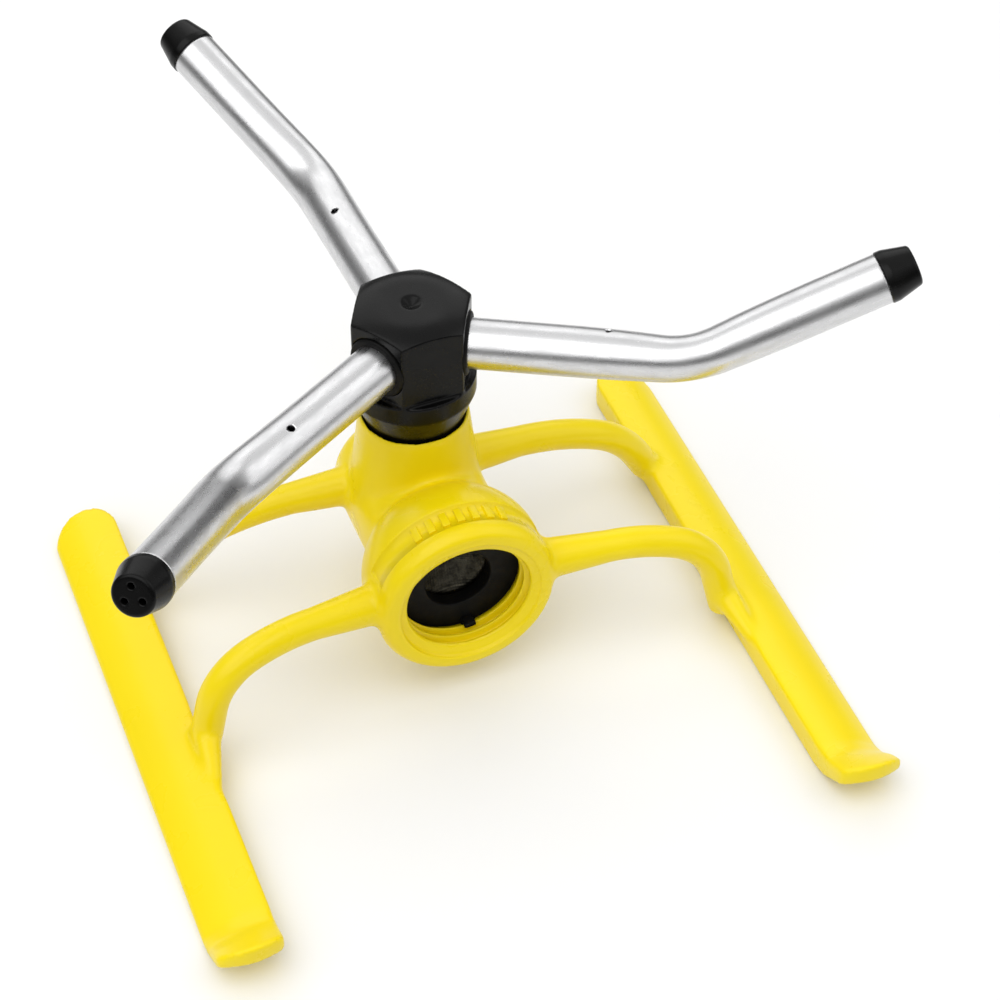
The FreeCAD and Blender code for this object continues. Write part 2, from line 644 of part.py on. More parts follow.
def hub():
    """Black rotor hub: six flats, rounded top, skirt, three arm sockets and a feed chamber."""
    body = new_body("hub")
    foot, top = above_arms(size.foot_bottom), above_arms(size.hub_top)
    skin = outline(new_sketch(body, "skin", "XZ_Plane"), [
        (0, foot),
        (size.foot_radius, foot),
        (size.foot_radius, above_arms(size.skirt_end)),
        (size.skirt_tip, above_arms(size.skirt_end)),
        (size.hub_radius, above_arms(size.skirt_bottom)),
        (size.hub_radius, above_arms(size.hub_corner), size.crown_round),
        (size.hub_crown, top),
        (0, top)])
    turned(body, "core", skin, "V_Axis")
    flat = outline(new_sketch(body, "flat", "XY_Plane", shift=above_arms(size.flats_bottom)), [
        (size.hub_flats, -size.hub_radius), (size.hub_radius * 2, -size.hub_radius),
        (size.hub_radius * 2, size.hub_radius), (size.hub_flats, size.hub_radius)])
    cut = pocket(body, "flat_cut", flat, size.hub_top - size.flats_bottom + 1, flipped=True)
    ring_of(body, "flats", cut, ARMS * 2)
    socket = outline(new_sketch(body, "socket", "XZ_Plane"), [
        (0, 0), (size.hub_radius + 1, 0),
        (size.hub_radius + 1, size.seal_radius),
        (size.hub_flats - size.seal_inset, size.seal_radius),
        (size.hub_flats - size.seal_inset, size.tube_radius),
        (size.tube_root, size.tube_radius),
        (size.tube_root, size.tube_bore),
        (0, size.tube_bore)])
    bored = turned(body, "socket_bore", socket, "H_Axis", "Groove")
    ring_of(body, "sockets", bored, ARMS)
    feed = outline(new_sketch(body, "feed", "XZ_Plane"), [
        (0, foot - 1), (size.spindle_radius, foot - 1),
        (size.spindle_radius, above_arms(size.chamber_floor)),
        (size.hub_chamber, above_arms(size.chamber_floor)),
        (size.hub_chamber, above_arms(size.chamber_top)), (0, above_arms(size.chamber_top))])
    turned(body, "feed_bore", feed, "V_Axis", "Groove")
    dimple = outline(new_sketch(body, "dimple", "XZ_Plane"), [
        (0, top - size.dimple_depth), (size.dimple_radius, top),
        (size.dimple_radius, top + 1), (0, top + 1)])
    turned(body, "dimple_cut", dimple, "V_Axis", "Groove")
    body.Placement = at(size.arm_height, size.arm_azimuth.value)
    return body


def spindle():
    """Hollow shaft pressed into the hub, grooved for the retaining clip."""
    body = new_body("spindle")
    groove_top = size.clip_height + size.clip_thick + size.slack * 2
    sketch = outline(new_sketch(body, "section", "XZ_Plane"), [
        (size.spindle_bore, size.spindle_bottom),
        (size.spindle_radius, size.spindle_bottom),
        (size.spindle_radius, size.clip_height),
        (size.clip_groove, size.clip_height),
        (size.clip_groove, groove_top),
        (size.spindle_radius, groove_top),
        (size.spindle_radius, size.chamber_floor),
        (size.spindle_bore, size.chamber_floor)])
    turned(body, "shaft", sketch, "V_Axis")
    return body


def retaining_clip():
    """Open ring that sits in the spindle's groove."""
    body = new_body("retaining_clip")
    ring = circles(new_sketch(body, "ring", "XY_Plane"), [size.clip_radius, size.clip_groove])
    feature(body, "Pad", "disc", ring, Length=size.clip_thick)
    gap = outline(new_sketch(body, "gap", "XY_Plane"), [
        (0, -size.clip_gap), (size.clip_radius + 1, -size.clip_gap),
        (size.clip_radius + 1, size.clip_gap), (0, size.clip_gap)])
    pocket(body, "opening", gap, size.clip_thick + 1, flipped=True)
    body.Placement = at(size.clip_height + size.slack)
    return body


def arm_placement(index):
    """Frame of an arm at the tube's inner end: X along the tube, Z towards the bend."""
    yaw = FreeCAD.Rotation(Z_AXIS, size.arm_azimuth.value + index * 360 / ARMS)
    roll = FreeCAD.Rotation(X_AXIS, -size.elbow_roll.value)
    start = yaw.multVec(X_AXIS * size.tube_root.value) + Z_AXIS * size.arm_height.value
    return FreeCAD.Placement(start, yaw * roll)


def arm_path():
    """Corners of the tube's centreline in the plane of its bend."""
    setback = size.elbow_radius * tangent(size.elbow_angle / 2)
    straight = size.elbow_reach - size.tube_root - setback
    rest = size.tip_length - setback
    bend_x = straight + size.elbow_radius * sine(size.elbow_angle)
    bend_z = size.elbow_radius * (1 - cosine(size.elbow_angle))
    end_x = bend_x + rest * cosine(size.elbow_angle)
    end_z = bend_z + rest * sine(size.elbow_angle)
    return [(0, 0), (straight, 0, size.elbow_radius), (bend_x, bend_z), (end_x, end_z)]


def arm_tube(index):
    """Bent aluminium tube with one side jet."""
    body = new_body(f"arm_tube_{index + 1}")
    ring = circles(new_sketch(body, "ring", "YZ_Plane"), [size.tube_radius, size.tube_bore])
    path = outline(new_sketch(body, "path", "XZ_Plane"), arm_path(), closed=False)
    swept(body, "tube", ring, path)
    lean = FreeCAD.Rotation(X_AXIS, size.elbow_roll.value - size.jet_angle.value)
    jet = circles(new_sketch(body, "jet", "XY_Plane", turn=lean), [size.jet_radius],
                  across=size.jet_reach - size.tube_root)
    pocket(body, "jet_hole", jet, size.tube_radius + 1, flipped=True)
    body.Placement = arm_placement(index)
    return body


def nozzle_cap(index):
    """Tapered cap plugged into a tube's end, with three nozzle holes."""
    body = new_body(f"nozzle_cap_{index + 1}")
    round_start = size.cap_length - size.cap_round
    skin = outline(new_sketch(body, "skin", "XZ_Plane"), [
        (-size.cap_spigot, size.cap_cavity),
        (-size.cap_spigot, size.tube_bore),
        (0, size.tube_bore),
        (0, size.cap_lip),
        (size.cap_band, size.cap_lip),
        (round_start, size.cap_nose, -size.cap_round),
        (size.cap_length, size.cap_nose - size.cap_round),
        (size.cap_length, 0),
        (size.cap_length - size.cap_face, 0),
        (size.cap_length - size.cap_face, size.cap_cavity)])
    turned(body, "shell", skin, "H_Axis")
    for hole in range(NOZZLES):
        angle = dim(30 + 360 / NOZZLES * hole)
        spot = circles(new_sketch(body, f"nozzle_{hole + 1}", "YZ_Plane", shift=size.cap_length + 1),
                       [size.nozzle_radius],
                       across=size.nozzle_circle * cosine(angle), up=size.nozzle_circle * sine(angle))
        pocket(body, f"nozzle_hole_{hole + 1}", spot, size.cap_face + 2)
    end_x, end_z = arm_path()[-1]
    local = FreeCAD.Placement(FreeCAD.Vector(end_x.value, 0, end_z.value),
                              FreeCAD.Rotation(Y_AXIS, -size.elbow_angle.value))
    body.Placement = arm_placement(index).multiply(local)
    return body


def arm_seal(index):
    """Rubber ring round a tube where it enters the hub."""
    body = new_body(f"arm_seal_{index + 1}")
    start = size.hub_flats - size.seal_inset - size.tube_root
    ring = outline(new_sketch(body, "section", "XZ_Plane"), [
        (start, size.tube_radius), (start + size.seal_length, size.tube_radius),
        (start + size.seal_length, size.seal_radius - size.seal_round, size.seal_round),
        (start + size.seal_length - size.seal_round, size.seal_radius), (start, size.seal_radius)])
    turned(body, "ring", ring, "H_Axis")
    body.Placement = arm_placement(index)
    return body


def build():
    """Every physical piece, by the name of its file."""
    housing = inlet_body()
    nodes = [housing]
    for side, hand, back in ((-1, "left", size.runner_left_back), (1, "right", size.runner_right_back)):
        whole = runner(f"runner_{hand}", side, back)
        nodes.append(relieved(f"runner_{hand}", side, back, whole))
        nodes += [leg(which, side, whole, housing) for which in LEGS]
    nodes += [hose_washer(), inlet_screen(), bearing_bush(), hub(), spindle(), retaining_clip()]
    shim_bottom = size.column_top - size.socket_depth + size.flange_thick + size.slack
    nodes.append(turned_ring("thrust_washer", size.shim_inner, size.shim_radius,
                             shim_bottom, shim_bottom + size.shim_thick))
    keeper_bottom = size.clip_height + size.clip_thick + size.slack * 3
    nodes.append(turned_ring("keeper_washer", size.shim_inner, size.keeper_radius,
                             keeper_bottom, keeper_bottom + size.shim_thick))
    for index in range(ARMS):
        nodes += [arm_tube(index), arm_seal(index), nozzle_cap(index)]
    return {item.Label: item for item in nodes}


def check(parts):
    """Stop on any failed feature, or on a sub-part that is not one valid solid."""
    failed = [item.Label for item in doc.Objects if {"Invalid", "Error"} & set(item.State)]
    if failed:
        raise ValueError(f"failed features: {failed}")
    for name, item in parts.items():
        if item.Shape.isNull() or not item.Shape.isValid() or len(item.Shape.Solids) != 1:
            raise ValueError(f"{name} is not one valid solid")


def main():
    parts = build()
    doc.recompute()
    check(parts)
    os.makedirs("parts", exist_ok=True)
    for name, item in parts.items():
        item.Shape.exportStep(os.path.join("parts", f"{name}.step"))
    print(len(parts), "parts written")


main()
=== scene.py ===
"""Looks of the rotating lawn sprinkler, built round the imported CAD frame. Metres, +Z up."""
import json
import math

import bmesh
import bpy
from mathutils import Matrix, Vector
from mathutils.bvhtree import BVHTree


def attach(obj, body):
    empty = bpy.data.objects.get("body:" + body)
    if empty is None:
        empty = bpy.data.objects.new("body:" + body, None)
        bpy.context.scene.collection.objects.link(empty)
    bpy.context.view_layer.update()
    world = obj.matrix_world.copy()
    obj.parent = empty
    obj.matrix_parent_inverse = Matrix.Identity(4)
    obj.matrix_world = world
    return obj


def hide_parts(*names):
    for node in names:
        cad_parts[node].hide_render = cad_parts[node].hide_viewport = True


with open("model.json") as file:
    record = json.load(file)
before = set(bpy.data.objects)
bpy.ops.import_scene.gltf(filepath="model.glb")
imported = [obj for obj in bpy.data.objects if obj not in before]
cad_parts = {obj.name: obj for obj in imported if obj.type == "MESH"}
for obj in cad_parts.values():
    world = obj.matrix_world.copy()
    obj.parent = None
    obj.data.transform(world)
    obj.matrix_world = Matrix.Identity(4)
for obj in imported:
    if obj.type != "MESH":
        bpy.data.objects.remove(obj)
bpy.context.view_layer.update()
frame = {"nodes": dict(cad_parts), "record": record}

MM = 0.001

# ---------------------------------------------------------------- sizes

ARM_COUNT = 3
ARM_HEIGHT = 65.5 * MM
ARM_AZIMUTH = math.radians(-27.4)
TUBE_RADIUS = 5.0 * MM
TUBE_BORE = 4.2 * MM
TUBE_ROOT = 7.5 * MM
ELBOW_REACH = 53.9 * MM
ELBOW_ANGLE = math.radians(28)
ELBOW_ROLL = math.radians(45)
ELBOW_RADIUS = 26 * MM
TIP_LENGTH = 39.6 * MM
JET_REACH = 37.7 * MM
JET_ANGLE = math.radians(18)
JET_RADIUS = 0.8 * MM
JET_SIDES = 24

CAP_VOXEL = 0.18 * MM
CAP_PASSES = 4
HUB_VOXEL = 0.24 * MM
HUB_PASSES = 6

BARREL_HEIGHT = 23.6 * MM
BARREL_RADIUS = 14.0 * MM
COLUMN_TOP = 47.6 * MM
COLUMN_TIP = 11.0 * MM
COLUMN_ROOT = 13.9 * MM

LEGS = ("leg_front_left", "leg_front_right", "leg_rear_left", "leg_rear_right")
RUNNERS = ("runner_left", "runner_right")
YELLOW_NODES = ("inlet_body",) + LEGS + RUNNERS

SKIN_VOXEL = 0.58 * MM
SKIN_PASSES = 6
FILLET_PASSES = 26
SOFT_PASSES = 13
CUP_SIDES = 144
CUP_MOUTH = -32.3 * MM
CUP_SEAT = -22.1 * MM
PLUG_INSET = 0.25 * MM
MOUTH_RADIUS = 15.0 * MM
PLUG_RADIUS = 16.0 * MM
LEAD_LENGTH = 2.4 * MM
THREAD_END = -25.4 * MM
THREAD_FADE = 0.7 * MM
THREAD_STEPS = 64
CORE_PAST = 1 * MM
THREAD_PITCH = 2.21 * MM
THREAD_ROOT = 13.6 * MM
THREAD_CREST = 12.3 * MM
THREAD_FLANK = 0.55 * MM
CREST_HALF = 0.25 * MM
BAND_START = -28.6 * MM
BAND_END = -23.4 * MM
BAND_RADIUS = 17.95 * MM
BAND_CLEAR = 20 * MM
# Middles of the two arcs that the band is cut along, over and under the cup
BAND_ARCS = (math.radians(90), math.radians(270))
BAND_HALF = math.radians(70)
BAND_STEPS = 72
RIB_COUNT = 7
RIB_SPREAD = math.radians(58)
RIB_HEIGHT = 0.4 * MM
RIB_WIDTH = 1.6 * MM
RIB_LENGTH = 3.6 * MM
RIB_EDGE = 0.18 * MM

WASHER_RADIUS = 12.9 * MM
WASHER_HOLE = 6.8 * MM
WASHER_THICK = 3.2 * MM
WASHER_ROUND = 0.35 * MM
WASHER_SIDES = 216
WASHER_GAP = 0.02 * MM
ROUND_STEPS = 5
EAR_ANGLE = math.radians(-81.5)
EAR_HALF = math.radians(5)
EAR_SIDE = math.radians(2.5)
EAR_REACH = 0.6 * MM
TAB_INNER = 11.0 * MM
TAB_OUTER = 12.15 * MM
TAB_FRONT = -27.6 * MM
TAB_BACK = -24.9 * MM
TAB_HALF = math.radians(6)
TAB_STEPS = 8
TAB_EDGE = 0.3 * MM

SCREEN_RADIUS = 9.1 * MM
SCREEN_FRONT = -21.2 * MM
SCREEN_THICK = 0.5 * MM
SCREEN_DISH = 2.6 * MM
DISH_RADIUS = 7.0 * MM
DISH_STEPS = 24
DISH_HOLE = 0.05 * MM
SCREEN_SIDES = 120
WEAVE_SCALE = 560


# ---------------------------------------------------------------- materials

class Shader:
    """A node material round one Principled shader."""

    def __init__(self, name, **sockets):
        self.material = bpy.data.materials.new(name)
        self.material.use_nodes = True
        self.tree = self.material.node_tree
        self.shader = self.tree.nodes["Principled BSDF"]
        self.coords = self.tree.nodes.new("ShaderNodeTexCoord")
        for socket, value in sockets.items():
            self.shader.inputs[socket.replace("_", " ")].default_value = value

    def node(self, kind, **values):
        node = self.tree.nodes.new(kind)
        for key, value in values.items():
            setattr(node, key, value)
        return node

    def link(self, output, target):
        self.tree.links.new(output, target)

    def noise(self, scale, detail=3.0, roughness=0.5, stretch=(1, 1, 1), source="Object"):
        mapping = self.node("ShaderNodeMapping")
        mapping.inputs["Scale"].default_value = stretch
        self.link(self.coords.outputs[source], mapping.inputs["Vector"])
        noise = self.node("ShaderNodeTexNoise")
        noise.inputs["Scale"].default_value = scale
        noise.inputs["Detail"].default_value = detail
        noise.inputs["Roughness"].default_value = roughness
        self.link(mapping.outputs["Vector"], noise.inputs["Vector"])
        return noise.outputs["Fac"]

    def wires(self, direction):
        """Even waves one way across the piece, as the wires of a gauze."""
        wave = self.node("ShaderNodeTexWave", bands_direction=direction)
        wave.inputs["Scale"].default_value = WEAVE_SCALE
        self.link(self.coords.outputs["Object"], wave.inputs["Vector"])
        return wave.outputs["Fac"]

    def ramp(self, factor, *stops):
        """Colour ramp through (position, colour) stops; a plain number means a grey."""
        ramp = self.node("ShaderNodeValToRGB")
        elements = ramp.color_ramp.elements
        while len(elements) < len(stops):
            elements.new(0.5)
        for element, (position, colour) in zip(elements, stops):
            element.position = position
            parts = (colour,) * 3 if isinstance(colour, float) else colour
            element.color = (*parts, 1)
        self.link(factor, ramp.inputs["Fac"])
        return ramp.outputs["Color"]

    def bump(self, height, distance, strength, after=None):
        bump = self.node("ShaderNodeBump")
        bump.inputs["Distance"].default_value = distance
        bump.inputs["Strength"].default_value = strength
        self.link(height, bump.inputs["Height"])
        if after is not None:
            self.link(after, bump.inputs["Normal"])
        return bump.outputs["Normal"]

    def wire(self, **outputs):
        for socket, output in outputs.items():
            self.link(output, self.shader.inputs[socket.replace("_", " ")])
        return self.material


def yellow_plastic():
    """Injection-moulded polypropylene: faint flow marks, fine grain, uneven gloss."""
    kit = Shader("yellow_plastic", IOR=1.49, Specular_IOR_Level=0.3)
    flow = kit.noise(28, detail=4, stretch=(1, 0.35, 1))
    colour = kit.ramp(flow, (0.3, (0.87, 0.665, 0.002)), (0.7, (0.91, 0.72, 0.004)))
    gloss = kit.ramp(kit.noise(90, detail=5), (0.3, 0.25), (0.7, 0.34))
    grain = kit.bump(kit.noise(1900, detail=2), 0.00004, 0.35)
    ripple = kit.bump(kit.noise(150, detail=2), 0.0003, 0.12, after=grain)
    return kit.wire(Base_Color=colour, Roughness=gloss, Normal=ripple)


def black_plastic():
    """Black ABS with a soft sheen, fine grain and light handling marks."""
    kit = Shader("black_plastic", IOR=1.4, Specular_IOR_Level=0.22)
    wear = kit.noise(160, detail=6)
    tone = kit.ramp(wear, (0.35, (0.0012, 0.0012, 0.0012)), (0.75, (0.0035, 0.0035, 0.0033)))
    gloss = kit.ramp(kit.noise(240, detail=7, roughness=0.65), (0.3, 0.20), (0.72, 0.32))
    grain = kit.bump(kit.noise(2600, detail=2), 0.00004, 0.25)
    dents = kit.bump(kit.noise(260, detail=2), 0.0002, 0.08, after=grain)
    return kit.wire(Base_Color=tone, Roughness=gloss, Normal=dents)


def tube_aluminium():
    """Polished drawn tube: hair lines along its length, sparse scratches and dull patches."""
    kit = Shader("tube_aluminium", Metallic=1.0)
    lines = kit.noise(1.0, detail=3, stretch=(14, 380, 1), source="UV")
    marks = kit.noise(1.0, detail=5, roughness=0.6, stretch=(16, 20, 1), source="UV")
    nicks = kit.noise(1.0, detail=2, stretch=(160, 60, 1), source="UV")
    tint = kit.ramp(marks, (0.3, (0.60, 0.60, 0.605)), (0.7, (0.69, 0.69, 0.695)))
    gloss = kit.ramp(marks, (0.32, 0.33), (0.62, 0.25))
    drawn = kit.bump(lines, 0.00002, 0.4)
    pitted = kit.bump(kit.ramp(nicks, (0.24, 0.0), (0.28, 1.0)), 0.00006, 0.6, after=drawn)
    return kit.wire(Base_Color=tint, Roughness=gloss, Normal=pitted)


def black_rubber():
    """Matt moulded rubber with a fine, slightly dusty grain."""
    kit = Shader("black_rubber", IOR=1.4, Specular_IOR_Level=0.2)
    dust = kit.noise(300, detail=5)
    tone = kit.ramp(dust, (0.3, (0.0015, 0.0015, 0.0015)), (0.7, (0.005, 0.0048, 0.0045)))
    gloss = kit.ramp(kit.noise(420, detail=4), (0.3, 0.5), (0.7, 0.66))
    grain = kit.bump(kit.noise(2200, detail=3), 0.00006, 0.5)
    return kit.wire(Base_Color=tone, Roughness=gloss, Normal=grain)


def stainless_steel():
    """Dull steel, painted dark for the shade deep in the inlet, with uneven mottling and fine turning
    marks.
    """
    kit = Shader("stainless_steel", Metallic=1.0)
    turned = kit.noise(900, detail=3, stretch=(1, 1, 6))
    stain_and_shade = kit.noise(420, detail=6, roughness=0.7)
    # Painted shade: the dark tint stands in for the shade deep in the inlet; the noise only mottles it.
    tint = kit.ramp(stain_and_shade, (0.35, (0.03, 0.028, 0.022)), (0.75, (0.20, 0.19, 0.16)))
    gloss = kit.ramp(kit.noise(500, detail=4), (0.3, 0.36), (0.7, 0.52))
    return kit.wire(Base_Color=tint, Roughness=gloss, Normal=kit.bump(turned, 0.00003, 0.4))


def woven_steel():
    """Steel gauze painted dark for the shade deep in the inlet: wires crossing both ways over uneven grey
    mottling.
    """
    kit = Shader("woven_steel", Metallic=1.0)
    stain_and_shade = kit.noise(420, detail=6, roughness=0.7)
    # Painted shade: the dark tint stands in for the shade deep in the inlet; the noise only mottles it.
    tint = kit.ramp(stain_and_shade, (0.35, (0.015, 0.014, 0.011)), (0.75, (0.13, 0.12, 0.09)))
    gloss = kit.ramp(kit.noise(700, detail=4), (0.3, 0.34), (0.7, 0.5))
    across = kit.bump(kit.wires("X"), 0.00006, 0.6)
    woven = kit.bump(kit.wires("Z"), 0.00006, 0.6, after=across)
    return kit.wire(Base_Color=tint, Roughness=gloss, Normal=woven)


def white_acetal():
    """Smooth off-white bearing plastic."""
    kit = Shader("white_acetal", IOR=1.48)
    tone = kit.ramp(kit.noise(200, detail=3), (0.3, (0.78, 0.78, 0.75)), (0.7, (0.84, 0.84, 0.82)))
    gloss = kit.ramp(kit.noise(350, detail=3), (0.3, 0.35), (0.7, 0.45))
    return kit.wire(Base_Color=tone, Roughness=gloss, Normal=kit.bump(kit.noise(1800), 0.00004, 0.3))


MATERIALS = {make.__name__: make() for make in
             (yellow_plastic, black_plastic, tube_aluminium, black_rubber, stainless_steel, woven_steel,
              white_acetal)}
NODE_SLOTS = {row["node"]: row["material_slot"] for row in frame["record"]["subparts"]}


def paint(piece, slot):
    piece.data.materials.clear()
    piece.data.materials.append(MATERIALS[slot])


def paint_cad_nodes():
    """Give every CAD node the detailed material of its slot."""
    for name, node in frame["nodes"].items():
        for material_slot in node.material_slots:
            material_slot.material = MATERIALS[NODE_SLOTS[name]]


# ---------------------------------------------------------------- meshes

def new_piece(name, mesh):
    piece = bpy.data.objects.new(name, mesh)
    bpy.context.scene.collection.objects.link(piece)
    return piece


def from_bmesh(name, bm):
    mesh = bpy.data.meshes.new(name)
    bm.to_mesh(mesh)
    bm.free()
    return new_piece(name, mesh)


def fix_mesh(piece):
    """Replace a piece's mesh by what its modifiers make of it."""
    graph = bpy.context.evaluated_depsgraph_get()
    mesh = bpy.data.meshes.new_from_object(piece.evaluated_get(graph))
    piece.modifiers.clear()
    piece.data = mesh
    return piece


def smooth_shading(piece):
    for face in piece.data.polygons:
        face.use_smooth = True


def declare(piece, body, slot, nodes=(), look=None):
    """Finish a piece: shading, material, body, slot and the CAD nodes it stands for."""
    paint(piece, look or slot)
    smooth_shading(piece)
    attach(piece, body)
    if nodes:
        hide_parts(*nodes)
    return piece


def moulded(name, nodes, voxel, passes, plug=None):
    """One closed skin round several CAD solids, with softened edges as a mould leaves them."""
    bm = bmesh.new()
    if plug is not None:
        bm.from_mesh(plug)
    for node in nodes:
        bm.from_mesh(frame["nodes"][node].data)
    bmesh.ops.remove_doubles(bm, verts=bm.verts, dist=voxel * 0.02)
    piece = from_bmesh(name, bm)
    remesh = piece.modifiers.new("skin", "REMESH")
    remesh.mode = "VOXEL"
    remesh.voxel_size = voxel
    fix_mesh(piece)
    soften = piece.modifiers.new("soften", "SMOOTH")
    soften.iterations = passes
    soften.factor = 0.5
    return fix_mesh(piece)


def round_edges(piece, width):
    bevel = piece.modifiers.new("edges", "BEVEL")
    bevel.width = width
    bevel.segments = 3
    fix_mesh(piece)


def blend_zone(piece, weight, passes):
    """Smooth only where weight(point) is above zero, which turns a sharp corner into a fillet."""
    group = piece.vertex_groups.new(name="fillet")
    for vertex in piece.data.vertices:
        amount = weight(vertex.co)
        if amount > 0:
            group.add([vertex.index], min(amount, 1), "REPLACE")
    blend = piece.modifiers.new("fillet", "SMOOTH")
    blend.vertex_group = group.name
    blend.iterations = passes
    blend.factor = 0.5
    fix_mesh(piece)
    piece.vertex_groups.clear()


def tree_of(nodes):
    bm = bmesh.new()
    for node in nodes:
        bm.from_mesh(frame["nodes"][node].data)
    tree = BVHTree.FromBMesh(bm)
    bm.free()
    return tree


# ---------------------------------------------------------------- moulded base

FILLET_REACH = 2.6 * MM
COLUMN_FILLET = 3.64 * MM
FILLET_GAIN = 2
# Boxes of |x|, y and z whose corners melt into one flowing shape: foot webs and toes
SOFT_BOXES = (
    ((0.050, 0.0625), (-0.050, -0.022), (-0.001, 0.0165)),
    ((0.050, 0.072), (-0.0885, -0.0765), (0.001, 0.014)),
)
SOFT_EDGE = 3.5 * MM
# Share of the fillet smoothing that is kept inside those boxes
SOFT_HOLD = 0.15


def joint_weight():
    """Weight near the lines where a leg meets the housing or a runner, and column meets barrel."""
    legs = tree_of(LEGS)
    rest = tree_of(("inlet_body",) + RUNNERS)

    def weight(point):
        leg_gap = legs.find_nearest(point)[3]
        rest_gap = rest.find_nearest(point)[3]
        legs_meet = 1 - max(leg_gap, rest_gap) / FILLET_REACH
        if soft_weight(point) > 0:
            legs_meet *= SOFT_HOLD
        height = max(point.z - BARREL_HEIGHT, 0)
        taper = (COLUMN_TIP - COLUMN_ROOT) / (COLUMN_TOP - BARREL_HEIGHT)
        column_radius = COLUMN_ROOT + taper * height
        from_column = abs(math.hypot(point.x, point.y) - column_radius)
        from_axis = math.hypot(point.x, point.z - BARREL_HEIGHT)
        from_barrel = abs(from_axis - BARREL_RADIUS)
        column_meets = 1 - max(from_column, from_barrel) / COLUMN_FILLET
        return max(legs_meet, column_meets) * FILLET_GAIN

    return weight


def soft_weight(point):
    """Weight inside the boxes that melt together, fading out over their edges."""
    place = (abs(point.x), point.y, point.z)
    depths = []
    for box in SOFT_BOXES:
        depths.append(min(min(value - low, high - value) for value, (low, high) in zip(place, box)))
    return max(depths) / SOFT_EDGE


def round_inlet(y, radius, angle):
    """Point at an angle and radius about the inlet's axis."""
    return radius * math.cos(angle), y, BARREL_HEIGHT + radius * math.sin(angle)


def turned_mesh(name, radius_at, stations, sides, closed=False):
    """Mesh turned about the inlet's axis: radius_at(y, angle) at each station along Y.

    With closed set, the stations go round a ring's section as (y, radius) pairs instead.
    """
    bm = bmesh.new()
    rings = []
    for station in stations:
        ring = []
        for side in range(sides):
            angle = 2 * math.pi * side / sides
            y, radius = station if closed else (station, radius_at(station, angle))
            if closed and radius_at is not None:
                radius = radius_at(radius, angle)
            ring.append(bm.verts.new(round_inlet(y, radius, angle)))
        rings.append(ring)
    pairs = list(zip(rings, rings[1:]))
    if closed:
        pairs.append((rings[-1], rings[0]))
    for first, second in pairs:
        for side in range(sides):
            after = (side + 1) % sides
            bm.faces.new((first[side], first[after], second[after], second[side]))
    if not closed:
        bm.faces.new(rings[0])
        bm.faces.new(rings[-1])
    bmesh.ops.recalc_face_normals(bm, faces=bm.faces)
    return from_bmesh(name, bm)


def thread_radius(y, angle):
    """Radius of the cup's bore: right-hand thread that widens into the mouth, then plain to the seat."""
    if y < CUP_MOUTH:
        return MOUTH_RADIUS
    lead = max(1 - (y - CUP_MOUTH) / LEAD_LENGTH, 0)
    root = THREAD_ROOT + (MOUTH_RADIUS - THREAD_ROOT) * lead
    fade = min((y - CUP_MOUTH) / THREAD_FADE, (THREAD_END - y) / THREAD_FADE, 1)
    if fade <= 0:
        return root
    place = ((y - CUP_MOUTH) / THREAD_PITCH + angle / (2 * math.pi)) % 1
    from_crest = abs(place - 0.5) * THREAD_PITCH
    rise = min(max((THREAD_FLANK + CREST_HALF - from_crest) / THREAD_FLANK, 0), 1)
    return root - (THREAD_ROOT - THREAD_CREST) * rise * fade


def steps_between(start, end, count):
    return [start + (end - start) * index / count for index in range(count + 1)]


def curved_block(name, section, middle, half, count):
    """Closed block that follows the inlet's axis round, from a section of (y, radius) corners."""
    bm = bmesh.new()
    rings = []
    for angle in steps_between(middle - half, middle + half, count):
        rings.append([bm.verts.new(round_inlet(y, radius, angle)) for y, radius in section])
    for first, second in zip(rings, rings[1:]):
        for corner in range(len(first)):
            after = (corner + 1) % len(first)
            bm.faces.new((first[corner], first[after], second[after], second[corner]))
    bm.faces.new(rings[0])
    bm.faces.new(rings[-1])
    bmesh.ops.recalc_face_normals(bm, faces=bm.faces)
    return from_bmesh(name, bm)


def band_cutter(middle):
    """Curved block that sinks the band round the cup, clear of the legs."""
    section = ((BAND_START, BAND_RADIUS), (BAND_END, BAND_RADIUS),
               (BAND_END, BAND_CLEAR), (BAND_START, BAND_CLEAR))
    return curved_block("band_cutter", section, middle, BAND_HALF, BAND_STEPS)


def cut_from(piece, cutter):
    """Subtract a closed mesh from a piece and drop it."""
    cut = piece.modifiers.new("cut", "BOOLEAN")
    cut.operation = "DIFFERENCE"
    cut.object = cutter
    cut.solver = "EXACT"
    fix_mesh(piece)
    bpy.data.objects.remove(cutter)


def base_skin():
    """The whole yellow moulding: smooth skin, then a crisp thread, band and rim."""
    plug = turned_mesh("cup_plug", lambda y, angle: PLUG_RADIUS,
                       (CUP_MOUTH, CUP_SEAT - PLUG_INSET), CUP_SIDES)
    skin = moulded("base_moulding", YELLOW_NODES, SKIN_VOXEL, SKIN_PASSES, plug.data)
    bpy.data.objects.remove(plug)
    blend_zone(skin, joint_weight(), FILLET_PASSES)
    blend_zone(skin, soft_weight, SOFT_PASSES)
    stations = [CUP_MOUTH - CORE_PAST] + steps_between(CUP_MOUTH, THREAD_END, THREAD_STEPS) + [CUP_SEAT]
    cut_from(skin, turned_mesh("thread_core", thread_radius, stations, CUP_SIDES))
    for middle in BAND_ARCS:
        cut_from(skin, band_cutter(middle))
    return declare(skin, "base", "yellow_plastic", YELLOW_NODES)


